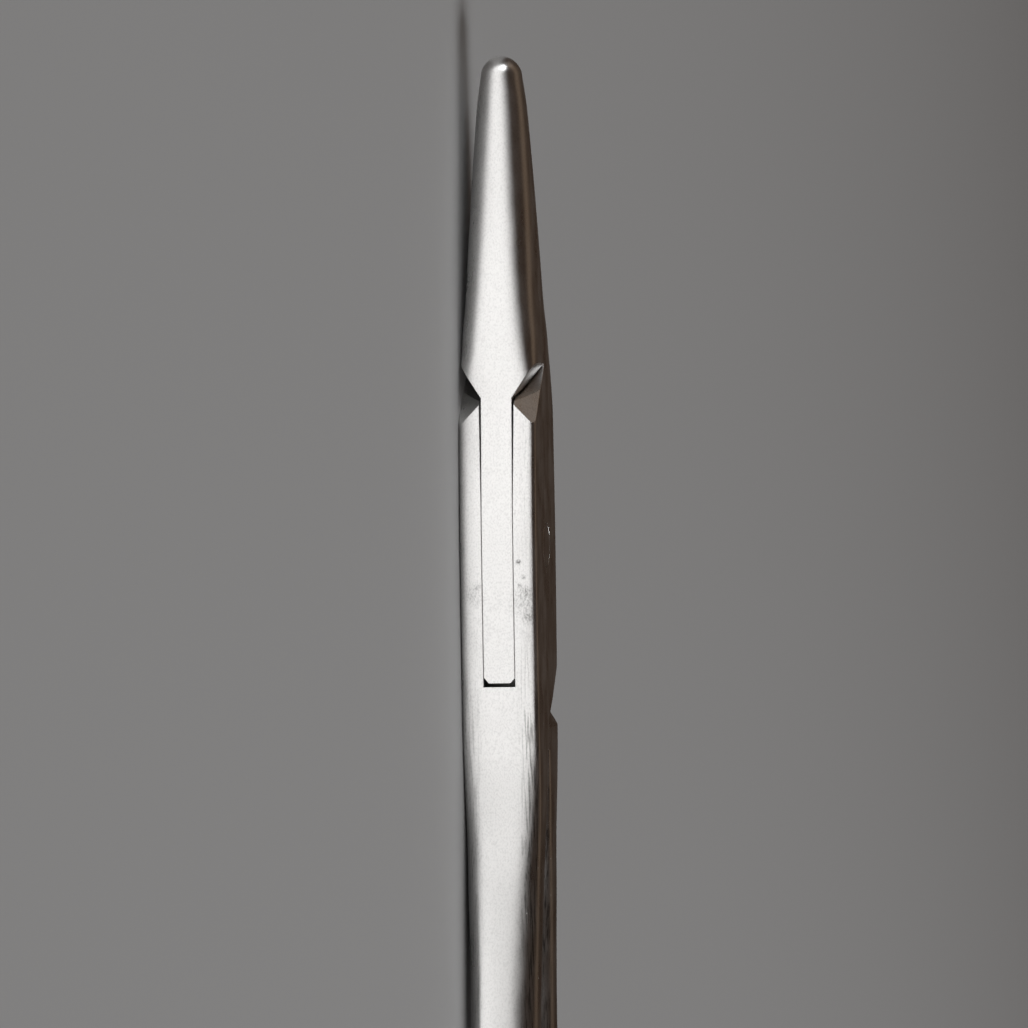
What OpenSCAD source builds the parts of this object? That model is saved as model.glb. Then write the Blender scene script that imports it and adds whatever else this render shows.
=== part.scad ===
// Needle holder with a box lock, jaws closed and ratchet open.
// It lies flat: the long axis is X with the jaws towards +X, and Z is the thickness.
// Every shape is written about the pivot, with the mid plane at z = 0. place() then moves
// the whole instrument so that its origin is the middle of the underside of its box.

/* [Jaws] */
// Pivot to the tip of the jaws
jaw_reach = 30.6; // [26:0.2:38]
// Thickness of a jaw at its tip
tip_thickness = 2.5; // [2:0.1:3.2]
// Depth of one jaw near its tip, from the bite line to its back
tip_depth = 1.9; // [1.5:0.1:2.4]
// Depth of one jaw where it leaves the box
jaw_root_depth = 3.75; // [3.3:0.05:4.1]
// Radius of the blunt tip
tip_radius = 1.3; // [0.8:0.1:1.7]
// Gap between the two bite faces when closed
bite_gap = 0.02; // [0.01:0.01:0.06]
// Distance between neighbouring grooves of the bite faces
groove_pitch = 0.8; // [0.6:0.1:1.4]
// Depth of the grooves of the bite faces
groove_depth = 0.18; // [0.1:0.02:0.3]
// Length of the grooved stretch, measured back from the tip
grooved_length = 16; // [10:0.5:17]

/* [Box lock] */
// Thickness of the box over both cheeks
box_thickness = 4.86; // [4.4:0.02:5.6]
// Width of the box at the pivot
box_width = 8.6; // [8:0.1:10]
// Thickness of the tongue that passes through the box
tongue_thickness = 1.94; // [1.6:0.02:2.3]
// Gap between the tongue and each cheek
slot_gap = 0.06; // [0.03:0.01:0.1]
// How much wider each side of the slot is at its mouth
slot_flare = 0.05; // [0:0.01:0.1]
// Radius of the round ends of the tongue, about the pivot
tongue_radius = 9.5; // [8.8:0.1:10.2]
// Gap between an end of the tongue and the web of the box
end_gap = 0.22; // [0.15:0.01:0.4]
// Slope cut on the edges of the tongue's ends
tongue_chamfer = 0.36; // [0.1:0.02:0.5]
// Pivot to where the mouth of the cheeks meets the bite line
mouth_reach = 11.1; // [10.6:0.1:12]
// Pivot to where the mouth of the cheeks meets the flank of the box
mouth_corner = 8.84; // [8.5:0.02:9.4]
// Pivot to the tip of a cheek, where the bevel on its corner meets the flank beside the tongue
cheek_tip = 8.77; // [8.3:0.01:9.2]
// Pivot to the foot of the shoulder of a jaw, beside the tongue
shoulder_foot = 9.15; // [8.9:0.05:9.8]
// How far the shoulder leans away from the cheek, for each millimetre above the tongue
shoulder_lean = 1.53; // [0.8:0.01:1.8]
// Gap between the mouth of the cheeks and the other arm's jaw
shoulder_gap = 0.12; // [0.08:0.02:0.3]
// Pivot to where the two shanks part behind the box
fork_reach = 12.8; // [12.2:0.1:14]
// Diameter of the pivot pin
pin_diameter = 2.8; // [2.2:0.1:3.6]
// Radial running clearance of the tongue on the pin
pin_clearance = 0.03; // [0.02:0.01:0.08]

/* [Shanks] */
// Pivot to the end of the finger rings
handle_reach = 129.4; // [122:0.2:150]
// Width of a shank along most of its length
shank_width = 4.5; // [4:0.1:5.2]
// Thickness of a shank along most of its length
shank_thickness = 4; // [3.4:0.1:4.6]
// Width of a shank just behind the box
neck_width = 3.8; // [3.4:0.1:4.2]
// Length over which a shank swells behind the box
neck_length = 9.2; // [7:0.2:12]
// Gap between the two shanks at the neck
neck_gap = 0.4; // [0.2:0.1:0.8]

/* [Ratchet] */
// Pivot to the middle of the ratchet
ratchet_reach = 88; // [80:0.5:92]
// Gap between the shanks at the ratchet
ratchet_opening = 10.4; // [9:0.2:13]
// Width of a ratchet bar along the shank
bar_width = 4.4; // [3.6:0.1:5.4]
// Number of ratchet teeth on each bar
tooth_count = 3; // [2:1:3]
// Distance between neighbouring ratchet teeth
tooth_pitch = 1.3; // [1:0.1:1.4]
// Height of a ratchet tooth
tooth_height = 0.55; // [0.3:0.05:0.7]
// Gap between the tips of the two ratchet bars
bar_gap = 0.4; // [0.3:0.05:0.8]

/* [Finger rings] */
// Length of the hole of a finger ring
ring_hole_length = 24; // [22:0.5:27]
// Width of the hole of a finger ring
ring_hole_width = 18.4; // [17:0.2:21]
// Thickness of the rod that forms a finger ring
ring_rod = 4; // [3.4:0.1:4.4]
// Gap between the two finger rings
ring_spacing = 6; // [5:0.2:9]
// Slant of a finger ring's long axis
ring_slant = 8; // [4:1:12]

/* [Hidden] */

steel = [0.80, 0.80, 0.79];
pin_steel = [0.70, 0.70, 0.70];

section_points = 32;
ring_stations = 56;
rod_points = 14;
reach = 400;   // longer than the instrument, for cutting planes
half_gap = bite_gap / 2;
half_box = box_thickness / 2;
half_tongue = tongue_thickness / 2;
half_slot = half_tongue + slot_gap;
web_radius = tongue_radius + end_gap;
fork_x = -fork_reach;
flank = box_width / 2 - 0.35;   // half width of the box at the tips of its cheeks
neck_x = fork_x - neck_length;   // where a shank has its full swell behind the box
waist_x = fork_x - neck_length * 0.43;
shank_front = -ratchet_reach * 0.34;
shank_middle = -ratchet_reach * 0.68;

// The oval line that the middle of a finger ring's rod follows
ring_a = (ring_hole_length + ring_rod) / 2;
ring_b = (ring_hole_width + ring_rod) / 2;
function ring_point(angle) =
    let (u = ring_a * cos(angle), v = ring_b * sin(angle))
    [u * cos(ring_slant) + v * sin(ring_slant), v * cos(ring_slant) - u * sin(ring_slant)];
ring_half_length = norm([ring_a * cos(ring_slant), ring_b * sin(ring_slant)]);
ring_half_width = norm([ring_a * sin(ring_slant), ring_b * cos(ring_slant)]);
ring_centre = [ring_half_length + ring_rod / 2 - handle_reach, ring_half_width + (ring_spacing + ring_rod) / 2];

// Where a shank runs into its ring
join = ring_centre + ring_point(-40);
ring_front = ring_centre + ring_point(0);

// A value that follows a table of [x, value] rows smoothly and never passes beyond them. The
// slope at a row is the harmonic mean of the two slopes beside it, and 0 where they differ in sign.
function span_slope(t, i) = (t[i + 1][1] - t[i][1]) / (t[i + 1][0] - t[i][0]);
function row_slope(t, i) =
    let (
        before = span_slope(t, max(i - 1, 0)),
        after = span_slope(t, min(i, len(t) - 2))
    )
    before * after <= 0 ? 0 : 2 * before * after / (before + after);
function follow(t, x) =
    let (
        last = len(t) - 1,
        xx = min(max(x, t[0][0]), t[last][0]),
        i = max([for (j = [0:last - 1]) if (xx >= t[j][0]) j]),
        w = t[i + 1][0] - t[i][0],
        s = (xx - t[i][0]) / w,
        s2 = s * s,
        s3 = s2 * s
    )
    t[i][1] * (2 * s3 - 3 * s2 + 1) + t[i + 1][1] * (3 * s2 - 2 * s3)
    + w * (row_slope(t, i) * (s3 - 2 * s2 + s) + row_slope(t, i + 1) * (s3 - s2));

// Half thickness of a jaw, as a share of the way from the tip's to the box's
function jaw_half(share) = tip_thickness / 2 + (half_box - tip_thickness / 2) * share;

// Half thickness along the whole arm
half_thickness_rows = [
    [join[0], ring_rod / 2 - 0.25],
    [ring_front[0], ring_rod / 2],
    [shank_middle, shank_thickness / 2],
    [shank_front, shank_thickness / 2 + 0.12],
    [neck_x + 2, half_box - 0.12],
    [fork_x - 1, half_box],
    [fork_reach - 3, half_box],
    [fork_reach, jaw_half(0.95)],
    [jaw_reach * 0.5, jaw_half(0.8)],
    [jaw_reach * 0.6, jaw_half(0.69)],
    [jaw_reach * 0.7, jaw_half(0.56)],
    [jaw_reach * 0.8, jaw_half(0.4)],
    [jaw_reach * 0.9, jaw_half(0.2)],
    [jaw_reach - tip_radius, jaw_half(0)]
];
// Half width of the closed instrument, from the box forwards
half_width_rows = [
    [fork_x - 1, box_width / 2 - 0.3],
    [-tongue_radius, box_width / 2 - 0.15],
    [0, box_width / 2],
    [tongue_radius - 1, flank],
    [fork_reach, jaw_root_depth],
    [jaw_reach * 0.7, (jaw_root_depth + tip_depth) * 0.5],
    [jaw_reach - tip_radius, tip_depth]
];
flank_at_fork = follow(half_width_rows, fork_x);
// Middle line of a shank, from the ring to the box
shank_line_rows = [
    [join[0], join[1]],
    [ring_front[0], (join[1] + ratchet_opening / 2 + shank_width / 2) / 2],
    [-ratchet_reach, ratchet_opening / 2 + shank_width / 2],
    [shank_middle, 5.5],
    [shank_front, 3.3],
    [neck_x, 2.7],
    [waist_x, (neck_width + neck_gap) / 2],
    [fork_x, flank_at_fork / 2]
];
shank_width_rows = [
    [join[0], ring_rod * 0.85],
    [ring_front[0], shank_width * 0.96],
    [-ratchet_reach, shank_width],
    [shank_front * 1.5, shank_width],
    [neck_x, neck_width + 0.15],
    [waist_x, neck_width],
    [fork_x, flank_at_fork]
];
// Extra width on the outer side of a shank, which fills the corner in front of its ring
gusset_end = ring_front[0] + ring_rod * 1.5;
gusset_rows = [
    [join[0], 0],
    [ring_front[0] - 1.6, 3.2],
    [ring_front[0] + 1.2, 1.6],
    [gusset_end, 0]
];
// Roundness of the section: 2 is an ellipse, and high values are nearly square
roundness_rows = [
    [join[0], 2.1],
    [shank_front * 1.33, 2.4],
    [neck_x - 4, 2.9],
    [neck_x + 3, 4],
    [fork_x - 1, 7],
    [-tongue_radius, 8],
    [tongue_radius - 2, 8],
    [fork_reach, 5],
    [jaw_reach * 0.6, 3.6],
    [jaw_reach * 0.72, 3],
    [jaw_reach, 2.4]
];
// How far the section is pressed flat on its four sides, which leaves crisp narrow edges
flatness_rows = [
    [neck_x, 1],
    [fork_x - 1, 1.035],
    [-tongue_radius, 1.04],
    [tongue_radius - 2, 1.04],
    [fork_reach, 1]
];

function signed_power(v, e) = sign(v) * pow(abs(v), e);
function held(v, limit) = min(max(v, -limit), limit);

// One closed section at x: an oval between y = low and y = high, pressed flat at its limits
function section(x, low, high, half_z) =
    let (
        e = 2 / follow(roundness_rows, x),
        k = follow(flatness_rows, x),
        half_y = (high - low) / 2
    )
    [for (i = [0:section_points - 1])
        let (t = 360 * (i + 0.5) / section_points)
        [
            x,
            (low + high) / 2 + held(half_y * k * signed_power(sin(t), e), half_y),
            held(half_z * k * signed_power(cos(t), e), half_z)
        ]
    ];
function shank_section(x) =
    let (
        mid = follow(shank_line_rows, x),
        w = follow(shank_width_rows, x)
    )
    section(x, mid - w / 2, mid + w / 2 + follow(gusset_rows, x), follow(half_thickness_rows, x));
function front_section(x) =
    let (w = follow(half_width_rows, x))
    section(x, -w, w, follow(half_thickness_rows, x));
function tip_section(angle) =
    let (
        x = jaw_reach - tip_radius + tip_radius * sin(angle),
        c = cos(angle)
    )
    section(x, -tip_depth * c, tip_depth * c, tip_thickness / 2 * c);

function steps(a, b, count) = [for (i = [0:count - 1]) a + (b - a) * i / (count - 1)];

// The stock of one arm, before the lock is cut: shank on +y, then the whole width of the
// box and the closed jaws
stock_sections = concat(
    [for (x = steps(join[0], gusset_end, 12)) shank_section(x)],
    [for (x = steps(gusset_end + ring_rod, neck_x - 4, 12)) shank_section(x)],
    [for (x = steps(neck_x - 1.5, fork_x, 9)) shank_section(x)],
    [for (x = steps(fork_x + 0.05, tongue_radius - 2, 9)) front_section(x)],
    [for (x = steps(tongue_radius - 1.4, fork_reach + 1, 8)) front_section(x)],
    [for (x = steps(fork_reach + 2.5, jaw_reach - tip_radius, 8)) front_section(x)],
    [for (a = [24, 44, 60, 72, 81]) tip_section(a)]
);

// A closed skin over a row of sections that each have the same number of points
module skin(sections) {
    rows = len(sections);
    n = len(sections[0]);
    polyhedron(
        points = [for (s = sections) each s],
        faces = concat(
            [[for (j = [n - 1:-1:0]) j]],
            [[for (j = [0:n - 1]) (rows - 1) * n + j]],
            [for (i = [0:rows - 2], j = [0:n - 1])
                let (k = (j + 1) % n)
                each [
                    [i * n + j, i * n + k, (i + 1) * n + k],
                    [i * n + j, (i + 1) * n + k, (i + 1) * n + j]
                ]
            ]
        )
    );
}

// A finger ring on the +y side: a round rod bent to an oval
module finger_ring() {
    n = rod_points;
    points = [for (i = [0:ring_stations - 1])
        let (
            a = 360 * i / ring_stations,
            p = ring_centre + ring_point(a),
            q = ring_point(a + 1) - ring_point(a - 1),
            out = [q[1], -q[0]] / norm(q)
        )
        for (j = [0:n - 1])
            let (
                b = 360 * (j + 0.5) / n,
                r = ring_rod / 2 / cos(180 / n)
            )
            [p[0] + r * cos(b) * out[0], p[1] + r * cos(b) * out[1], r * sin(b)]
    ];
    polyhedron(
        points = points,
        faces = [for (i = [0:ring_stations - 1], j = [0:n - 1])
            let (
                i2 = (i + 1) % ring_stations,
                j2 = (j + 1) % n
            )
            each [
                [i * n + j, i * n + j2, i2 * n + j2],
                [i * n + j, i2 * n + j2, i2 * n + j]
            ]
        ]
    );
}

// A ratchet bar on the +y shank, seen from above as a bar with a wide root and from the
// front as ramps that each end in a steep face
module ratchet_bar() {
    root = ratchet_opening / 2 + shank_width * 0.4;
    w = bar_width / 2;
    thick = shank_thickness / 2 - 0.15;
    tip = bar_gap / 2;
    translate([-ratchet_reach, 0, 0])
        intersection() {
            translate([0, 0, -thick])
                linear_extrude(height = 2 * thick)
                    polygon([
                        [-w, tip],
                        [w, tip],
                        [w, ratchet_opening / 2 - 1.2],
                        [w + 0.5, ratchet_opening / 2 - 0.3],
                        [w + 1.6, root],
                        [-w - 1.6, root],
                        [-w - 0.5, ratchet_opening / 2 - 0.3],
                        [-w, ratchet_opening / 2 - 1.2]
                    ]);
            rotate([90, 0, 90])
                linear_extrude(height = 4 * bar_width, center = true)
                    polygon(concat(
                        [[root + 1, -2 * thick], [tip + 0.25, -2 * thick], [tip, -thick + 0.3]],
                        [for (i = [0:tooth_count - 1]) each [
                            [tip + i * tooth_pitch, -tooth_height / 2],
                            [tip + (i + 0.82) * tooth_pitch, tooth_height / 2]
                        ]],
                        [[tip + tooth_count * tooth_pitch, -tooth_height / 2],
                         [ratchet_opening / 2 - 0.2, -tooth_height / 2],
                         [ratchet_opening / 2 + 0.4, thick],
                         [root + 1, thick]]
                    ));
        }
}

// Shank, ring and ratchet bar on the +y side, with the stock of the box and of both jaws
module arm_stock() {
    skin(stock_sections);
    finger_ring();
    ratchet_bar();
}

// The line of the cheeks' mouth seen from above, as [x, y] points from the bite line to beyond
// the flank: it leaves the bite line at a slant and runs nearly straight across at the flank
function mouth_line(gap) =
    let (w = mouth_reach - mouth_corner)
    [for (p = [[1.44, -0.25], [1, 0], [0.6, 0.24], [0.345, 0.455], [0.16, 0.745], [0, 1.035], [-0.28, 1.56]])
        [mouth_corner + w * p[0] + gap, flank * p[1]]];

// All that lies before the mouth line, moved forwards by gap
module before_mouth(gap) {
    line = mouth_line(gap);
    linear_extrude(height = reach / 10, center = true)
        polygon(concat(line, [[mouth_corner - reach, reach], [reach, reach], [reach, line[0][1]]]));
}

// Everything that the cheeks leave free at the front, above the bite line: all before their
// mouth, and the bevel on its outer corner
module cheek_cut() {
    u = (cheek_tip + flank + half_slot) / sqrt(2);
    h = reach / 20;
    intersection() {
        translate([-reach, -half_gap, -h])
            cube([3 * reach, reach, 2 * h]);
        union() {
            before_mouth(0);
            rotate([0, 0, 45])
                rotate([90, 0, 0])
                    linear_extrude(height = 2 * reach, center = true)
                        polygon([[u, 0], [u - h / sqrt(2), h], [reach, h], [reach, -h], [u - h / sqrt(2), -h]]);
        }
    }
}

// The slot through the box, which follows the sweep of the tongue. Its mouth is a little
// wider than its middle.
module slot() {
    intersection() {
        union() {
            linear_extrude(height = reach, center = true) {
                translate([0, -half_gap])
                    square(reach);
                translate([-reach, half_gap - reach])
                    square(reach);
            }
            cylinder(h = reach, r = web_radius, center = true, $fn = 96);
        }
        rotate([90, 0, 0])
            linear_extrude(height = reach, center = true)
                polygon([
                    [-reach, -half_slot - slot_flare],
                    [-tongue_radius, -half_slot - slot_flare],
                    [-tongue_radius / 3, -half_slot],
                    [tongue_radius / 3, -half_slot],
                    [tongue_radius, -half_slot - slot_flare],
                    [reach, -half_slot - slot_flare],
                    [reach, half_slot + slot_flare],
                    [tongue_radius, half_slot + slot_flare],
                    [tongue_radius / 3, half_slot],
                    [-tongue_radius / 3, half_slot],
                    [-tongue_radius, half_slot + slot_flare],
                    [-reach, half_slot + slot_flare]
                ]);
    }
}

// All of the jaw before the front shoulder, which leans away from the cheek's mouth
module before_shoulder() {
    h = reach / 20;
    intersection() {
        translate([-reach, half_gap, -reach / 20])
            cube([2 * reach, reach, reach / 10]);
        before_mouth(shoulder_gap);
        rotate([90, 0, 0])
            linear_extrude(height = 2 * reach, center = true)
                polygon([
                    [shoulder_foot - shoulder_lean * half_tongue, 0],
                    [shoulder_foot + shoulder_lean * (h - half_tongue), h],
                    [reach, h],
                    [reach, -h],
                    [shoulder_foot + shoulder_lean * (h - half_tongue), -h]
                ]);
    }
}

// What the other arm's cheeks take from this arm above the tongue: all but the jaw before the
// front shoulder and the shank behind the rear one
module cheek_room() {
    difference() {
        translate([-reach / 2, -reach / 2, half_tongue])
            cube([reach, reach, reach / 50]);
        before_shoulder();
        rotate([0, 0, 180])
            before_shoulder();
    }
}

// What the webs of the box take from the tongue, at the front: all beyond its round end
module web_room() {
    r = tongue_radius;
    c = tongue_chamfer;
    intersection() {
        translate([0, half_gap - reach, -reach / 20])
            cube([reach, reach, reach / 10]);
        rotate_extrude($fn = 96)
            polygon([
                [r, half_tongue - c],
                [r, c - half_tongue],
                [r - c, -half_tongue],
                [r - c, -reach / 20],
                [reach, -reach / 20],
                [reach, reach / 20],
                [r - c, reach / 20],
                [r - c, half_tongue]
            ]);
    }
}

// Crossed grooves of one bite face, as sharp-bottomed channels along the plane y = 0
module bite_grooves() {
    half_w = groove_depth * 1.1;
    run = half_box * 4;
    step = groove_pitch * sqrt(2);
    start = jaw_reach - grooved_length;
    intersection() {
        for (i = [-2:floor((grooved_length + half_box) / step)], turn = [-45, 45])
            translate([start + (i + 0.5) * step, 0, 0])
                rotate([0, turn, 0])
                    linear_extrude(height = run, center = true)
                        polygon([[-half_w, 0], [0, groove_depth], [half_w, 0], [0, -groove_depth]]);
        translate([start, -half_box, -half_box])
            cube([2 * grooved_length, box_thickness, box_thickness]);
    }
}

module female_arm() {
    color(steel)
        place()
            difference() {
                arm_stock();
                cheek_cut();
                rotate([0, 0, 180])
                    cheek_cut();
                slot();
                translate([0, -half_gap, 0])
                    bite_grooves();
                cylinder(h = 2 * box_thickness, r = pin_diameter / 2, center = true, $fn = 64);
            }
}

module male_arm() {
    color(steel)
        place()
            difference() {
                rotate([180, 0, 0])
                    arm_stock();
                translate([0, half_gap, 0])
                    bite_grooves();
                cheek_room();
                mirror([0, 0, 1])
                    cheek_room();
                web_room();
                rotate([0, 0, 180])
                    web_room();
                cylinder(h = 2 * box_thickness, r = pin_diameter / 2 + pin_clearance, center = true, $fn = 64);
            }
}

// The pin is filed flush with both cheeks
module pivot_pin() {
    color(pin_steel)
        place()
            cylinder(h = box_thickness, r = pin_diameter / 2, center = true, $fn = 64);
}

module place() {
    translate([(handle_reach - jaw_reach) / 2, 0, half_box])
        children();
}

female_arm();
male_arm();
pivot_pin();
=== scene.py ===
# Needle holder with a box lock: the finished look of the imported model.
# Values in the dictionaries are millimetres from the pivot, with +x towards the jaws, +z up
# and the mid plane of the instrument at z = 0. Meshes end in metres, in the model's frame.
import math

import bmesh
import bpy
import numpy as np
from mathutils import Matrix, Vector


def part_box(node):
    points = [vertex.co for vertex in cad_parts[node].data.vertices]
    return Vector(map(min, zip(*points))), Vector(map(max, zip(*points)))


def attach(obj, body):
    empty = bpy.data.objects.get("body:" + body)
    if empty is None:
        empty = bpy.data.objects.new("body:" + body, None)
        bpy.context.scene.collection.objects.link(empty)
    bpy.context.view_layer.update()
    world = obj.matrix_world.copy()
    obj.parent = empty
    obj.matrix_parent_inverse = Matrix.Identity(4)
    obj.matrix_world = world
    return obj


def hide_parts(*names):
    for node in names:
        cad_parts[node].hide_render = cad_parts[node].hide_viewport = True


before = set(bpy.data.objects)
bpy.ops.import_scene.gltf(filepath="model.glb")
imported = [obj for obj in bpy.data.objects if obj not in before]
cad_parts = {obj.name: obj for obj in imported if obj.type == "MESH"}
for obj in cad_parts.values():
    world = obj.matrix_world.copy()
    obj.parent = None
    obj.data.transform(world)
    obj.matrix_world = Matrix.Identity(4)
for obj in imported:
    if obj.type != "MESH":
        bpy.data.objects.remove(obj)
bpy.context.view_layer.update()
pinLow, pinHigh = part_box("pivot_pin")
pivot = np.array((pinLow + pinHigh) / 2)
print("frame loaded, pivot at", pivot.round(5))


# Value at x through rows of (x, value): one cubic between two rows. Its slope at a row is the
# harmonic mean of the slopes on both sides, or 0 where those differ in sign, so it never overshoots.
def follow(rows, x):
    t = np.array(rows, float)
    x = np.clip(x, t[0, 0], t[-1, 0])
    span = np.diff(t[:, 1]) / np.diff(t[:, 0])
    before = np.concatenate([span[:1], span])
    after = np.concatenate([span, span[-1:]])
    same = before * after > 0
    slope = np.where(same, 2 * before * after / np.where(same, before + after, 1), 0)
    i = np.clip(np.searchsorted(t[:, 0], x, side="right") - 1, 0, len(t) - 2)
    w = t[i + 1, 0] - t[i, 0]
    s = (x - t[i, 0]) / w
    ends = t[i, 1] * (2 * s**3 - 3 * s**2 + 1) + t[i + 1, 1] * (3 * s**2 - 2 * s**3)
    return ends + w * (slope[i] * (s**3 - 2 * s**2 + s) + slope[i + 1] * (s**3 - s**2))


# Closed ovals at each x: y = mid + halfY |sin t|^(2/r), z = halfZ |cos t|^(2/r), with the signs of
# sine and cosine and halfY as far as low or high, then pulled in along both axes until |y| + |z| is
# at most the sum of the halves less the chamfer.
def ovals(x, low, mid, high, halfZ, roundness, chamfer, count):
    t = 2 * np.pi * (np.arange(count) + 0.5) / count
    e = (2 / roundness)[:, None]
    halfY = np.where(np.sin(t) > 0, (high - mid)[:, None], (mid - low)[:, None])
    y = halfY * np.sign(np.sin(t)) * np.abs(np.sin(t)) ** e
    z = halfZ[:, None] * np.sign(np.cos(t)) * np.abs(np.cos(t)) ** e
    extra = np.abs(y) + np.abs(z) - halfY - (halfZ - chamfer)[:, None]
    pull = np.maximum(extra, 0) / 2
    y = y - np.sign(y) * pull + mid[:, None]
    z = z - np.sign(z) * pull
    return np.stack([np.broadcast_to(x[:, None], y.shape), y, z], axis=2)


# An object from arrays of points and faces. The volume under the faces, a sum of p0 . (p1 x p2) / 6,
# tells which way round they are, and they are turned over where it is negative.
def solid(name, points, faces):
    fan = [[f[0], f[k], f[k + 1]] for f in faces for k in range(1, len(f) - 1)]
    p = points[np.array(fan)]
    volume = np.einsum("ij,ij->", p[:, 0], np.cross(p[:, 1], p[:, 2])) / 6
    if volume < 0:
        faces = [f[::-1] for f in faces]
    mesh = bpy.data.meshes.new(name)
    mesh.from_pydata(points.tolist(), [], faces)
    mesh.update()
    obj = bpy.data.objects.new(name, mesh)
    bpy.context.scene.collection.objects.link(obj)
    return obj


# Faces of a grid of rows x count points that closes on itself around each row. The rows end in flat
# caps, or join up in a ring where loop is true.
def gridFaces(rows, count, loop):
    i, j = np.meshgrid(np.arange(rows if loop else rows - 1), np.arange(count), indexing="ij")
    a, b = i * count, (i + 1) % rows * count
    k = (j + 1) % count
    quads = np.stack([a + j, a + k, b + k, b + j], axis=2).reshape(-1, 4).tolist()
    if loop:
        return quads
    return quads + [list(range(count))[::-1], list(range((rows - 1) * count, rows * count))]


# A flat outline of (u, v) points carried from low to high along the third axis. The columns of axes
# say where u, v and the third axis point.
def prism(name, outline, low, high, axes):
    uv = np.array(outline, float)
    n = len(uv)
    ends = [np.column_stack([uv, np.full(n, w)]) for w in (low, high)]
    points = np.concatenate(ends) @ np.array(axes, float).T
    return solid(name, points, gridFaces(2, n, False))


def block(name, low, high):
    (x0, y0, z0), (x1, y1, z1) = low, high
    return prism(name, [[x0, y0], [x1, y0], [x1, y1], [x0, y1]], z0, z1, np.eye(3))


# An outline of (radius, z) points turned about the z axis: x = r cos a, y = r sin a
def lathe(name, outline, count):
    rz = np.array(outline, float)
    a = 2 * np.pi * np.arange(count) / count
    x = np.cos(a)[:, None] * rz[:, 0]
    y = np.sin(a)[:, None] * rz[:, 0]
    z = np.broadcast_to(rz[:, 1], x.shape)
    return solid(name, np.stack([x, y, z], axis=2).reshape(-1, 3), gridFaces(count, len(rz), True))


# Puts the result of an object's modifiers into its mesh
def applyModifiers(obj):
    dg = bpy.context.evaluated_depsgraph_get()
    done = bpy.data.meshes.new_from_object(obj.evaluated_get(dg))
    obj.modifiers.clear()
    obj.data = done
    return obj


def combine(obj, tool, operation):
    cut = obj.modifiers.new("cut", "BOOLEAN")
    cut.operation = operation
    cut.solver = "MANIFOLD"
    cut.object = tool
    applyModifiers(obj)
    bpy.data.objects.remove(tool)
    return obj


def duplicate(obj, name, matrix):
    mesh = obj.data.copy()
    mesh.transform(matrix)
    copy = bpy.data.objects.new(name, mesh)
    bpy.context.scene.collection.objects.link(copy)
    return copy


def halfTurn(axis):
    return Matrix.Rotation(math.pi, 4, axis)


ring = {
    "holeLength": 24,
    "holeWidth": 18.4,
    "rod": 4,
    "spacing": 6,
    "slant": 8,
    "handleReach": 129.4,
    "joinAngle": -40,
    "stations": 150,
    "rodPoints": 36,
}
ringA = (ring["holeLength"] + ring["rod"]) / 2
ringB = (ring["holeWidth"] + ring["rod"]) / 2
slant = math.radians(ring["slant"])


# Middle line of a finger ring: an oval (a cos t, b sin t) turned back by the slant
def ringPoint(t):
    u, v = ringA * np.cos(t), ringB * np.sin(t)
    return np.stack([u * np.cos(slant) + v * np.sin(slant), v * np.cos(slant) - u * np.sin(slant)], axis=-1)


ringTurn = ringPoint(np.linspace(0, 2 * np.pi, 721))
ringCentre = np.array([
    ringTurn[:, 0].max() + ring["rod"] / 2 - ring["handleReach"],
    ringTurn[:, 1].max() + (ring["spacing"] + ring["rod"]) / 2,
])
joinX, joinY = ringCentre + ringPoint(math.radians(ring["joinAngle"]))
frontX = ringCentre[0] + ringPoint(0)[0]

arm = {
    "jawReach": 30.58,
    "tipRadius": 1.3,
    "tipDepth": 1.9,
    "tipHalf": 1.25,
    "halfBox": 2.43,
    "halfGap": 0.01,
    "fork": -12.8,
    "seam": -81,
    "count": 80,
    "halfThickness": [
        [joinX, 1.75], [frontX, 2], [-59.84, 2], [-29.92, 2.12], [-20, 2.31], [-13.8, 2.43],
        [9.75, 2.43], [12.75, 2.371], [15.3, 2.194], [18.36, 2.064], [21.42, 1.911], [24.48, 1.722],
        [27.54, 1.486], [29.3, 1.25],
    ],
    "halfWidth": [
        [-13.8, 4.02], [-12.8, 4.037], [-9.5, 4.15], [0, 4.3], [8.5, 3.95], [12.75, 3.75],
        [21.42, 2.825], [29.3, 1.9],
    ],
    "shankLine": [
        [joinX, joinY], [frontX, (joinY + 7.45) / 2], [-88, 7.45], [-59.84, 5.5], [-29.92, 3.3],
        [-22, 2.7], [-16.8, 2.1], [-12.8, 2.019],
    ],
    "shankWidth": [
        [joinX, 3.4], [frontX, 4.32], [-88, 4.5], [-44.88, 4.5], [-22, 3.95], [-16.8, 3.8], [-12.8, 4.037],
    ],
    "easeOver": [[-12.8, 2.019], [-11, 1], [-9.2, 0]],
    "gusset": [[joinX, 0], [frontX - 1.6, 3.2], [frontX + 1.2, 1.6], [frontX + 6, 0]],
    "roundness": [
        [joinX, 2.1], [-40, 2.4], [-26, 2.9], [-19, 4], [-14, 8], [-10, 18], [7.5, 18], [10.5, 8],
        [12.6, 5], [18, 3.6], [22, 3.0], [30.6, 2.4],
    ],
    "chamfer": [[-16, 0], [-12, 0.26], [8, 0.26], [12, 0]],
}


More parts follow.
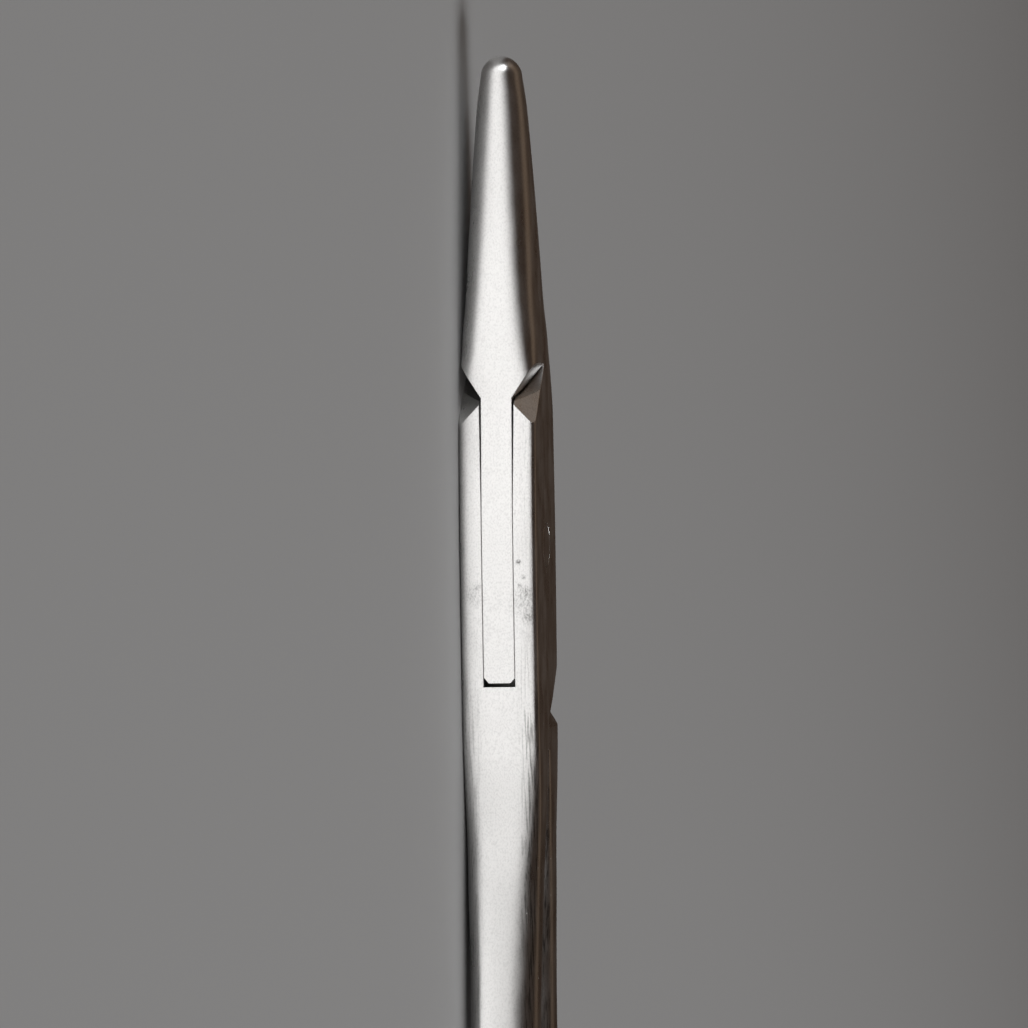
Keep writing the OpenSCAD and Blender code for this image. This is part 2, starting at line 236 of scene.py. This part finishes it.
# Ovals of the stock at each x. Behind the fork they lie round the middle line of one shank, and
# before it they take in both jaws, while their middle line eases over to y = 0. The ovals of the tip
# shrink as a ball does.
def stockOvals(x):
    shank = x <= arm["fork"]
    width = follow(arm["shankWidth"], x)
    bulge = follow(arm["gusset"], x)
    front = arm["jawReach"] - arm["tipRadius"]
    ball = np.sqrt(np.maximum(1 - (np.maximum(x - front, 0) / arm["tipRadius"]) ** 2, 0))
    line = follow(arm["shankLine"], x)
    jaws = follow(arm["halfWidth"], x) * ball
    low = np.where(shank, line - width / 2, -jaws)
    mid = np.where(shank, line + bulge / 2, follow(arm["easeOver"], x))
    high = np.where(shank, line + width / 2 + bulge, jaws)
    halfZ = follow(arm["halfThickness"], x) * ball
    roundness = follow(arm["roundness"], x)
    return ovals(x, low, mid, high, halfZ, roundness, follow(arm["chamfer"], x) * ball, arm["count"])


bar = {
    "reach": 88,
    "opening": 10.4,
    "width": 4.4,
    "gap": 0.4,
    "half": 1.85,
    "pitch": 1.3,
    "height": 0.55,
    "teeth": 3,
    "voxel": 0.22,
}


# The handle end: ring, rear of the shank and the root of the ratchet bar, melted into one skin by a
# voxel remesh. Its front is cut at the seam, where its points are pushed out to the oval of the stock.
def handleEnd():
    x = np.linspace(joinX, arm["seam"] + 2, 160)
    rows = stockOvals(x)
    handle = solid("handle", rows.reshape(-1, 3), gridFaces(len(x), arm["count"], False))
    t = 2 * np.pi * np.arange(ring["stations"]) / ring["stations"]
    middle = ringCentre + ringPoint(t)
    along = ringPoint(t + 0.01) - ringPoint(t - 0.01)
    out = np.stack([along[:, 1], -along[:, 0]], axis=1) / np.linalg.norm(along, axis=1)[:, None]
    b = 2 * np.pi * np.arange(ring["rodPoints"]) / ring["rodPoints"]
    r = ring["rod"] / 2
    xy = middle[:, None, :] + r * np.cos(b)[None, :, None] * out[:, None, :]
    z = np.broadcast_to(r * np.sin(b), xy.shape[:2])
    points = np.concatenate([xy, z[:, :, None]], axis=2).reshape(-1, 3)
    combine(handle, solid("rod", points, gridFaces(len(t), len(b), True)), "UNION")
    w, c, half = bar["width"] / 2, -bar["reach"], bar["opening"] / 2
    root = half + 1.8
    plan = [
        [c - w, bar["gap"] / 2], [c + w, bar["gap"] / 2], [c + w, half - 1.2], [c + w + 0.5, half - 0.3],
        [c + w + 1.6, root], [c - w - 1.6, root], [c - w - 0.5, half - 0.3], [c - w, half - 1.2],
    ]
    beam = prism("beam", plan, -bar["half"], bar["half"], np.eye(3))
    top = bar["height"] / 2 + 0.1
    side = [[-1, top], [half - 0.5, top], [half + 0.4, bar["half"]], [half + 0.4, 9], [-1, 9]]
    combine(beam, prism("above", side, c - 9, c + 9, [[0, 0, 1], [1, 0, 0], [0, 1, 0]]), "DIFFERENCE")
    combine(handle, beam, "UNION")
    melt = handle.modifiers.new("melt", "REMESH")
    melt.mode = "VOXEL"
    melt.voxel_size = bar["voxel"]
    melt.use_smooth_shade = True
    calm = handle.modifiers.new("calm", "SMOOTH")
    calm.factor = 0.5
    calm.iterations = 8
    applyModifiers(handle)
    mesh = bmesh.new()
    mesh.from_mesh(handle.data)
    everything = mesh.verts[:] + mesh.edges[:] + mesh.faces[:]
    bmesh.ops.bisect_plane(
        mesh, geom=everything, plane_co=(arm["seam"], 0, 0), plane_no=(1, 0, 0), clear_outer=True
    )
    mesh.to_mesh(handle.data)
    mesh.free()
    p = np.empty(len(handle.data.vertices) * 3, np.float32)
    handle.data.vertices.foreach_get("co", p)
    p = p.reshape(-1, 3).astype(float)
    near = p[:, 0] > arm["seam"] - 2.6
    x = p[near, 0]
    y = (p[near, 1] - follow(arm["shankLine"], x)) / (follow(arm["shankWidth"], x) / 2)
    z = p[near, 2] / follow(arm["halfThickness"], x)
    r = follow(arm["roundness"], x)
    size = (np.abs(y) ** r + np.abs(z) ** r) ** (1 / r)
    share = np.clip((x - arm["seam"] + 2.6) / 1.2, 0, 1)
    grow = 1 + share * (1 / np.maximum(size, 0.2) - 1)
    p[near, 1] = follow(arm["shankLine"], x) + (p[near, 1] - follow(arm["shankLine"], x)) * grow
    p[near, 2] = p[near, 2] * grow
    handle.data.vertices.foreach_set("co", p.astype(np.float32).ravel())
    return handle


# The whole stock of one arm: the handle end is bridged to the ovals of the shank, box and jaws
def armStock():
    handle = handleEnd()
    tip = arm["jawReach"] - arm["tipRadius"] * (1 - np.sin(np.linspace(0.05, 1.5, 14)))
    x = np.concatenate([
        np.linspace(arm["seam"] + 0.2, -30, 90),
        np.linspace(-29.5, -18, 34),
        np.linspace(-17.8, arm["fork"], 30),
        np.linspace(arm["fork"] + 0.02, 7.2, 70),
        np.linspace(7.4, 14.5, 44),
        np.linspace(14.8, 29.2, 52),
        tip,
    ])
    rows = stockOvals(x)
    fore = solid("fore", rows.reshape(-1, 3), gridFaces(len(x), arm["count"], False))
    mesh = bmesh.new()
    mesh.from_mesh(fore.data)
    mesh.faces.ensure_lookup_table()
    end = min((f for f in mesh.faces if len(f.verts) > 4), key=lambda f: f.calc_center_median().x)
    mesh.faces.remove(end)
    mesh.from_mesh(handle.data)
    edges = [e for e in mesh.edges if len(e.link_faces) == 1]
    bmesh.ops.bridge_loops(mesh, edges=edges)
    bmesh.ops.recalc_face_normals(mesh, faces=mesh.faces[:])
    mesh.to_mesh(fore.data)
    mesh.free()
    bpy.data.objects.remove(handle)
    print("arm stock", len(fore.data.polygons), "faces")
    return fore


stock = armStock()

lock = {
    "mouth": [[8.2, 6.2], [8.84, 4.1], [9.2, 2.95], [9.62, 1.8], [10.2, 0.95], [11.1, 0], [12.1, -1]],
    "cheekBevel": 13.75,
    "shoulderFoot": 9.15,
    "shoulderLean": 1.53,
    "shoulderGap": 0.1,
    "halfTongue": 0.97,
    "halfSlot": 0.996,
    "flare": 0.1,
    "tongueRadius": 9.5,
    "webRadius": 9.72,
    "tongueChamfer": 0.3,
    "pinRadius": 1.4,
    "pinClearance": 0.03,
    "far": 60,
}
mouth = np.array(lock["mouth"])
sideways = [[1, 0, 0], [0, 0, 1], [0, 1, 0]]
diagonal = [[math.sqrt(0.5), 0, math.sqrt(0.5)], [math.sqrt(0.5), 0, -math.sqrt(0.5)], [0, 1, 0]]


# All that lies before the mouth line of the cheeks, moved forwards by the gap and above y = low
def beforeMouth(name, gap, low):
    far = lock["far"]
    y = np.linspace(low, 6.2, 40)
    x = follow([[v, u] for u, v in mouth[::-1]], y) + gap
    line = np.column_stack([x, y])
    outline = np.concatenate([line, [[8.2 - far, far], [far, far], [far, low]]])
    return prism(name, outline, -9, 9, np.eye(3))


# What the cheeks leave free at the front: all before their mouth line, and the bevel on its outer
# corner where x + y + |z| is more than the bevel's reach
def cheekCut():
    far, g = lock["far"], arm["halfGap"]
    cut = beforeMouth("cheekCut", 0, -g)
    u = lock["cheekBevel"] / math.sqrt(2)
    tilt = 9 / math.sqrt(2)
    bevel = prism("bevel", [[u, 0], [u - tilt, 9], [far, 9], [far, -9], [u - tilt, -9]], -far, far, diagonal)
    combine(bevel, block("above", (-far, -g, -9), (far, far, 9)), "INTERSECT")
    return combine(cut, bevel, "UNION")


# The slot through the box, along the sweep of the tongue: two opposite quadrants and a disc of the
# web's radius, between side walls that open a little towards the mouth on each side
def slotCut():
    far, g, s = lock["far"], arm["halfGap"], lock["halfSlot"]
    cut = block("slot", (0, -g, -9), (far, far, 9))
    combine(cut, block("back", (-far, -far, -9), (0, g, 9)), "UNION")
    combine(cut, cylinder("disc", lock["webRadius"], -9, 9, 192), "UNION")
    wide, r = s + lock["flare"], lock["tongueRadius"]
    side = [[-far, -s], [r / 4, -s], [r, -wide], [far, -wide], [far, wide], [r, wide], [r / 4, s], [-far, s]]
    walls = prism("walls", side, -g, far, sideways)
    other = duplicate(walls, "otherWalls", halfTurn("Z"))
    combine(walls, other, "UNION")
    return combine(cut, walls, "INTERSECT")


def cylinder(name, radius, low, high, count):
    a = 2 * np.pi * np.arange(count) / count
    outline = np.stack([radius * np.cos(a), radius * np.sin(a)], axis=1)
    return prism(name, outline, low, high, np.eye(3))


# What the cheeks of the other arm take above and below the tongue: all but the jaw beyond the front
# shoulder, where x is past its foot by lean times the height over the tongue, and the shank beyond
# the rear one
def cheekRoom():
    far, g, t = lock["far"], arm["halfGap"], lock["halfTongue"]
    room = block("room", (-far / 2, -far / 2, t), (far / 2, far / 2, 8))
    combine(room, block("under", (-far / 2, -far / 2, -8), (far / 2, far / 2, -t)), "UNION")
    foot, lean = lock["shoulderFoot"], lock["shoulderLean"]
    side = [[foot - lean * t, 0], [foot + lean * (9 - t), 9], [far, 9], [far, -9], [foot + lean * (9 - t), -9]]
    keep = prism("keep", side, -far, far, sideways)
    combine(keep, beforeMouth("beyond", lock["shoulderGap"] * 1.2, g), "INTERSECT")
    behind = duplicate(keep, "behind", halfTurn("Z"))
    combine(room, keep, "DIFFERENCE")
    return combine(room, behind, "DIFFERENCE")


# What the webs of the box take from the tongue at the front: all beyond its round, chamfered end
def webRoom():
    r, c, t, far = lock["tongueRadius"], lock["tongueChamfer"], lock["halfTongue"], lock["far"]
    outline = [[r, t - c], [r, c - t], [r - c, -t], [r - c, -9], [far, -9], [far, 9], [r - c, 9], [r - c, t]]
    room = lathe("webRoom", outline, 192)
    return combine(room, block("front", (0, -far, -9), (far, arm["halfGap"], 9)), "INTERSECT")


bite = {"pitch": 0.8, "depth": 0.18, "halfWidth": 0.26, "start": 14.6, "end": 29.7, "rim": 0.28}


# Cutter for one bite face, below y = 0. Grooves run both ways at 45 degrees to x. On a grid along
# them, with lines at the middle and both sides of each groove, the depth is the larger of the two
# grooves' own depths, and each cell is split from its shallow corner to its deep one. The cutter
# keeps a narrow rim of each face free.
def biteCut():
    n = 34
    steps = np.array([-bite["halfWidth"], 0, bite["halfWidth"]])
    line = (np.arange(-n, n)[:, None] * bite["pitch"] + steps).ravel()
    deep = np.tile([0, bite["depth"], 0], 2 * n)
    p, q = np.meshgrid(line, line, indexing="ij")
    depth = np.maximum(deep[:, None], deep[None, :])
    x = bite["start"] + 8 + (p + q) / math.sqrt(2)
    z = (p - q) / math.sqrt(2)
    m = len(line)
    low = np.stack([x, -depth, z], axis=2).reshape(-1, 3)
    i, j = np.meshgrid(np.arange(m - 1), np.arange(m - 1), indexing="ij")
    a, b, c, d = i * m + j, (i + 1) * m + j, (i + 1) * m + j + 1, i * m + j + 1
    rising = (i % 3 == 0) == (j % 3 == 0)
    first = np.where(rising[:, :, None], np.stack([a, b, c], 2), np.stack([a, b, d], 2))
    second = np.where(rising[:, :, None], np.stack([a, c, d], 2), np.stack([b, c, d], 2))
    under = np.concatenate([first.reshape(-1, 3), second.reshape(-1, 3)])
    high = low.copy()
    high[:, 1] = 1
    over = under[:, ::-1] + m * m
    k = np.arange(m - 1)
    rim = np.concatenate([k, k * m + m - 1, m * m - 1 - k, (m - 1 - k) * m])
    after = np.roll(rim, -1)
    walls = np.stack([rim, after, after + m * m, rim + m * m], axis=1)
    faces = under.tolist() + over.tolist() + walls.tolist()
    cut = solid("biteCut", np.concatenate([low, high]), faces)
    x = np.linspace(bite["start"], bite["end"], 24)
    half = follow(arm["halfThickness"], x) - bite["rim"]
    outline = np.concatenate([np.column_stack([x, -half]), np.column_stack([x, half])[::-1]])
    return combine(cut, prism("limit", outline, -1, 0.5, sideways), "INTERSECT")


# The gaps between ratchet teeth, on the upper side of the bar: a saw line that rises away from the
# tip of the bar and falls steeply behind each tooth
def toothCut():
    tip, h, p = bar["gap"] / 2, bar["height"] / 2, bar["pitch"]
    saw = [[-2, -h - 0.35], [tip + 0.12, -h - 0.35], [tip + 0.3, -h]]
    for k in range(bar["teeth"]):
        saw += [[tip + (k + 0.8) * p, h], [tip + (k + 0.9) * p, h], [tip + (k + 1) * p, -h]]
    end = bar["opening"] / 2 - 0.3
    saw += [[end - 0.2, -h], [end, h + 0.6], [end, 4], [-2, 4]]
    return prism("toothCut", saw, -bar["reach"] - 9, -bar["reach"] + 9, [[0, 0, 1], [1, 0, 0], [0, 1, 0]])


def moveTo(obj):
    mesh = obj.data
    mesh.transform(Matrix.Translation(Vector(pivot)) @ Matrix.Scale(0.001, 4))
    mesh.shade_smooth()
    mesh.set_sharp_from_angle(angle=math.radians(26))
    return obj


combine(stock, toothCut(), "DIFFERENCE")
male = duplicate(stock, "maleArmFinished", halfTurn("X"))
female = stock
female.name = "femaleArmFinished"

combine(female, cheekCut(), "DIFFERENCE")
rear = cheekCut()
rear.data.transform(halfTurn("Z"))
combine(female, rear, "DIFFERENCE")
combine(female, slotCut(), "DIFFERENCE")
combine(female, biteCut(), "DIFFERENCE")
combine(female, cylinder("bore", lock["pinRadius"], -9, 9, 96), "DIFFERENCE")
print("female arm", len(female.data.polygons), "faces")

combine(male, cheekRoom(), "DIFFERENCE")
combine(male, webRoom(), "DIFFERENCE")
rear = webRoom()
rear.data.transform(halfTurn("Z"))
combine(male, rear, "DIFFERENCE")
teeth = biteCut()
teeth.data.transform(halfTurn("X"))
combine(male, teeth, "DIFFERENCE")
combine(male, cylinder("bore", lock["pinRadius"] + lock["pinClearance"], -9, 9, 96), "DIFFERENCE")
print("male arm", len(male.data.polygons), "faces")

half, r = arm["halfBox"], lock["pinRadius"]
pinOutline = [
    [0.001, -half], [r - 0.09, -half], [r - 0.01, 0.06 - half], [r - 0.01, half - 0.06], [r - 0.09, half],
    [0.001, half],
]
pin = lathe("pivotPinFinished", pinOutline, 96)
for piece in (female, male, pin):
    moveTo(piece)

finish = {
    "light": (0.88, 0.87, 0.855, 1),
    "dark": (0.2, 0.195, 0.19, 1),
    "grain": 0.1,
    "cloud": 1.4,
    "satin": 0.47,
    "polished": 0.3,
    # how much the brushed streaks darken the side bands of the flanks, as painted shade
    "brushedShade": 0.6,
    "dust": 1.2,
    "edge": 0.08,
    "height": 0.0032,
    "marks": [
        [-1.05, 1.31, 0.22, 1.1], [-1.98, 1.63, 0.2, 0.6], [-2.5, 1.36, 0.2, 0.6], [-2.9, 1.78, 0.5, 0.4],
        [-4.5, 1.92, 0.5, 0.5], [-2.6, -1.24, 0.3, 0.4], [-3.6, 1.7, 1.2, 0.3], [-3.1, -1.5, 0.9, 0.2],
    ],
}


# A noise whose grains are about as long as the three sizes, in millimetres along x, y and z
def grains(tree, place, sizes, detail):
    stretch = tree.nodes.new("ShaderNodeMapping")
    stretch.inputs["Scale"].default_value = [1000 / size for size in sizes]
    noise = tree.nodes.new("ShaderNodeTexNoise")
    noise.inputs["Scale"].default_value = 1
    noise.inputs["Detail"].default_value = detail
    tree.links.new(place, stretch.inputs["Vector"])
    tree.links.new(stretch.outputs["Vector"], noise.inputs["Vector"])
    return noise.outputs["Fac"]


# From low to high, the value goes in a straight line from first to last
def remap(tree, value, low, high, first, last):
    node = tree.nodes.new("ShaderNodeMapRange")
    node.inputs["From Min"].default_value = low
    node.inputs["From Max"].default_value = high
    node.inputs["To Min"].default_value = first
    node.inputs["To Max"].default_value = last
    tree.links.new(value, node.inputs["Value"])
    return node.outputs["Result"]


def reckon(tree, operation, first, second):
    node = tree.nodes.new("ShaderNodeMath")
    node.operation = operation
    for k, value in enumerate((first, second)):
        if isinstance(value, (int, float)):
            node.inputs[k].default_value = value
        else:
            tree.links.new(value, node.inputs[k])
    return node.outputs[0]


# How much a flank is marked: the sum over the marks of strength times 1 - distance / radius, where
# that is above 0, times how far y is beyond the slot
def markedBy(tree, place, marks):
    total = 0
    for x, z, radius, strength in marks:
        gap = tree.nodes.new("ShaderNodeVectorMath")
        gap.operation = "DISTANCE"
        gap.inputs[1].default_value = (pivot[0] + x / 1000, 0, pivot[2] + z / 1000)
        tree.links.new(place, gap.inputs[0])
        total = reckon(tree, "ADD", remap(tree, gap.outputs["Value"], 0, radius / 1000, strength, 0), total)
    return total


# Stainless steel, satin on the flanks and polished elsewhere. The tone is the product of a fine
# blasted grain and a soft cloud, darker behind the box and darkened by small marks. Brushed streaks
# are laid on the side bands of the flanks, the upper side most, as painted shade where they round
# off. The height follows the grain. Edges are rounded and, where the rounded normal leaves the true
# one, rubbed smooth. A few specks of dust lie on it.
def steel(name, values):
    mat = bpy.data.materials.new(name)
    mat.use_nodes = True
    tree = mat.node_tree
    shader = tree.nodes["Principled BSDF"]
    space = tree.nodes.new("ShaderNodeTexCoord")
    place = space.outputs["Object"]
    parts = tree.nodes.new("ShaderNodeSeparateXYZ")
    tree.links.new(place, parts.inputs[0])
    facing = tree.nodes.new("ShaderNodeSeparateXYZ")
    tree.links.new(space.outputs["Normal"], facing.inputs[0])
    level = reckon(tree, "ABSOLUTE", facing.outputs["Y"], 0)
    flank = remap(tree, level, 0.82, 0.96, 0, 1)
    size = values["grain"]
    grain = grains(tree, place, (size * 1.4, size, size), 3)
    cloud = grains(tree, place, (values["cloud"] * 2,) + (values["cloud"],) * 2, 3)
    streak = grains(tree, place, (4, 0.11, 0.11), 2)
    # Mask of the flanks' side bands, 1 to 1.7 mm above and below the middle, the upper side most and mostly
    # behind the box: the brushed streaks in it are painted shade where the flanks round off
    height = reckon(tree, "SUBTRACT", parts.outputs["Z"], float(pivot[2]))
    upper = remap(tree, height, 0.001, 0.0017, 0, 1)
    lower = remap(tree, height, -0.0017, -0.001, 0.4, 0)
    behind = remap(tree, parts.outputs["X"], float(pivot[0]) - 0.011, float(pivot[0]) - 0.006, 1, 0.2)
    sides = reckon(tree, "MULTIPLY", reckon(tree, "ADD", upper, lower), behind)
    sides = reckon(tree, "MULTIPLY", sides, remap(tree, level, 0.2, 0.6, 0.1, 1))
    brushedShade = reckon(tree, "MULTIPLY", remap(tree, streak, 0.5, 0.62, 0, values["brushedShade"]), sides)
    flat = tree.nodes.new("ShaderNodeCombineXYZ")
    tree.links.new(parts.outputs["X"], flat.inputs["X"])
    tree.links.new(parts.outputs["Z"], flat.inputs["Z"])
    near = remap(tree, parts.outputs["Y"], 0.003, 0.0035, 0, 1)
    marked = reckon(tree, "MULTIPLY", markedBy(tree, flat.outputs[0], values["marks"]), near)
    marked = reckon(tree, "MULTIPLY", marked, remap(tree, grain, 0.3, 0.65, 1.5, 0.3))
    tone = remap(tree, grain, 0.3, 0.56, 0.8, 1)
    tone = reckon(tree, "MULTIPLY", tone, remap(tree, cloud, 0.42, 0.66, 1, 0.93))
    # The tone is darker behind the box, towards the handles
    darkerBehind = remap(tree, parts.outputs["X"], float(pivot[0]) - 0.021, float(pivot[0]) - 0.012, 0.7, 1)
    tone = reckon(tree, "MULTIPLY", tone, darkerBehind)
    # Painted shade: the brushed streaks darken the side bands of the flanks
    tone = reckon(tree, "SUBTRACT", tone, brushedShade)
    tone = reckon(tree, "SUBTRACT", tone, marked)
    specks = tree.nodes.new("ShaderNodeTexVoronoi")
    specks.inputs["Scale"].default_value = 1000 / values["dust"]
    tree.links.new(place, specks.inputs["Vector"])
    dust = remap(tree, specks.outputs["Distance"], 0.018, 0.028, 1, 0)
    mix = tree.nodes.new("ShaderNodeMix")
    mix.data_type = "RGBA"
    mix.inputs[6].default_value = values["dark"]
    mix.inputs[7].default_value = values["light"]
    tree.links.new(reckon(tree, "ADD", tone, dust), mix.inputs["Factor"])
    tree.links.new(mix.outputs[2], shader.inputs["Base Color"])
    tree.links.new(reckon(tree, "SUBTRACT", 1, dust), shader.inputs["Metallic"])
    rounded = tree.nodes.new("ShaderNodeBevel")
    rounded.samples = 4
    rounded.inputs["Radius"].default_value = values["edge"] / 1000
    turn = tree.nodes.new("ShaderNodeVectorMath")
    turn.operation = "DOT_PRODUCT"
    tree.links.new(rounded.outputs["Normal"], turn.inputs[0])
    tree.links.new(tree.nodes.new("ShaderNodeNewGeometry").outputs["Normal"], turn.inputs[1])
    rubbed = remap(tree, turn.outputs["Value"], 0.97, 0.9, 0, 0.16)
    matt = remap(tree, flank, 0, 1, values["polished"], values["satin"])
    matt = reckon(tree, "ADD", matt, remap(tree, cloud, 0.35, 0.65, 0.03, -0.03))
    tree.links.new(reckon(tree, "SUBTRACT", matt, rubbed), shader.inputs["Roughness"])
    bump = tree.nodes.new("ShaderNodeBump")
    bump.inputs["Distance"].default_value = values["height"] / 1000
    tree.links.new(grain, bump.inputs["Height"])
    tree.links.new(rounded.outputs["Normal"], bump.inputs["Normal"])
    tree.links.new(bump.outputs["Normal"], shader.inputs["Normal"])
    return mat


satin = steel("satinSteel", finish)
for piece, slot in ((female, "arm_steel"), (male, "arm_steel"), (pin, "pin_steel")):
    piece.data.materials.clear()
    piece.data.materials.append(satin)
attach(female, "female_half")
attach(male, "male_half")
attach(pin, "female_half")
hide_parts("female_arm")
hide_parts("male_arm")
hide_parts("pivot_pin")
print("pieces ride on their halves")

view = {
    "target": (0.05134, 0, 0.00283),
    "distance": 0.45,
    "elevation": 9,
    "roll": 0.8,
    "lens": 252,
    "floor": (0.5, 0.5, 0.5, 1),
    "low": (0.022, 0.011, 0.005, 1),
    "high": (0.026, 0.015, 0.009, 1),
    "far": (0.12, 0.084, 0.058, 1),
}


# Looks along -y from a little above the table, with +x upwards in the picture and a small roll
def placeCamera():
    e, roll = math.radians(view["elevation"]), math.radians(view["roll"])
    forward = Vector((0, -math.cos(e), -math.sin(e)))
    side = forward.cross(Vector((1, 0, 0)))
    right = side * math.cos(roll) - Vector((1, 0, 0)) * math.sin(roll)
    up = Vector((1, 0, 0)) * math.cos(roll) + side * math.sin(roll)
    place = Vector(view["target"]) - forward * view["distance"]
    matrix = Matrix((right, up, -forward)).transposed().to_4x4()
    matrix.translation = place
    data = bpy.data.cameras.new("camera")
    data.lens = view["lens"]
    data.sensor_width = 36
    data.clip_start = 0.01
    data.clip_end = 20
    camera = bpy.data.objects.new("camera", data)
    camera.matrix_world = matrix
    bpy.context.scene.collection.objects.link(camera)
    bpy.context.scene.camera = camera


placeCamera()

floor = block("floor", (-4000, -4000, -10), (4000, 4000, 0))
floor.data.transform(Matrix.Scale(0.001, 4))
paper = bpy.data.materials.new("floorPaper")
paper.use_nodes = True
paper.node_tree.nodes["Principled BSDF"].inputs["Base Color"].default_value = view["floor"]
paper.node_tree.nodes["Principled BSDF"].inputs["Roughness"].default_value = 0.9
floor.data.materials.append(paper)

light = {
    "front": {
        "place": (0.3, 0.5, 0.028),
        "aim": (0.1, 0, 0.01),
        "size": (0.75, 0.054),
        "power": 0.38,
        "colour": (1, 1, 1),
    },
    "low": {
        "place": (0.09, 0.0475, 0.00015),
        "aim": (0.09, 0.0485, 1),
        "size": (0.15, 0.084),
        "power": 0.045,
        "colour": (1, 1, 1),
    },
    "left": {
        "place": (-0.65, 0, 0.5),
        "aim": (0, 0, 0),
        "size": (0.6, 0.5),
        "power": 4.2,
        "colour": (0.97, 0.985, 1),
    },
    "tip": {
        "place": (0.85, 0.34, 0.26),
        "aim": (0.05, 0, 0),
        "size": (0.5, 0.36),
        "power": 2.6,
        "colour": (0.95, 0.98, 1),
    },
    "right": {
        "place": (0.75, -0.35, 0.45),
        "aim": (0, 0, 0),
        "size": (0.5, 0.4),
        "power": 0.06,
        "colour": (1, 0.84, 0.72),
    },
}


# A soft lamp: a rectangle at its place that faces its aim, unseen by the camera
def softLamp(name, values):
    data = bpy.data.lights.new(name, "AREA")
    data.shape = "RECTANGLE"
    data.size, data.size_y = values["size"]
    data.energy = values["power"]
    data.color = values["colour"]
    lamp = bpy.data.objects.new(name, data)
    way = Vector(values["aim"]) - Vector(values["place"])
    lamp.matrix_world = Matrix.Translation(values["place"]) @ way.to_track_quat("-Z", "Y").to_matrix().to_4x4()
    lamp.visible_camera = False
    bpy.context.scene.collection.objects.link(lamp)


for name, values in light.items():
    softLamp(name, values)

# The room round the object: a dark warm brown, a little lighter overhead, and a dim grey sky on the far
# and right sides between about 30 and 60 degrees. The camera itself sees it in the colour of the floor.
def room():
    world = bpy.data.worlds.new("room")
    bpy.context.scene.world = world
    world.use_nodes = True
    tree = world.node_tree
    parts = tree.nodes.new("ShaderNodeSeparateXYZ")
    tree.links.new(tree.nodes.new("ShaderNodeTexCoord").outputs["Generated"], parts.inputs[0])
    mix = tree.nodes.new("ShaderNodeMix")
    mix.data_type = "RGBA"
    mix.inputs[6].default_value = view["low"]
    mix.inputs[7].default_value = view["high"]
    tree.links.new(remap(tree, parts.outputs["Z"], 0.25, 1, 0, 1), mix.inputs["Factor"])
    sky = tree.nodes.new("ShaderNodeMix")
    sky.data_type = "RGBA"
    sky.inputs[7].default_value = view["far"]
    tree.links.new(mix.outputs[2], sky.inputs[6])
    across = reckon(tree, "MULTIPLY", parts.outputs["X"], 0.5)
    away = remap(tree, reckon(tree, "SUBTRACT", across, parts.outputs["Y"]), 0.35, 0.65, 0, 1)
    above = remap(tree, parts.outputs["Z"], 0.45, 0.6, 0, 1)
    below = remap(tree, parts.outputs["Z"], 0.8, 0.92, 1, 0)
    band = reckon(tree, "MULTIPLY", above, below)
    tree.links.new(reckon(tree, "MULTIPLY", band, away), sky.inputs["Factor"])
    tree.links.new(sky.outputs[2], tree.nodes["Background"].inputs["Color"])
    seen = tree.nodes.new("ShaderNodeBackground")
    seen.inputs["Color"].default_value = view["floor"]
    pick = tree.nodes.new("ShaderNodeMixShader")
    tree.links.new(tree.nodes.new("ShaderNodeLightPath").outputs["Is Camera Ray"], pick.inputs["Fac"])
    tree.links.new(tree.nodes["Background"].outputs[0], pick.inputs[1])
    tree.links.new(seen.outputs[0], pick.inputs[2])
    tree.links.new(pick.outputs[0], tree.nodes["World Output"].inputs["Surface"])


room()
bpy.context.scene.view_settings.view_transform = "Standard"
print("camera, floor and light are in place")
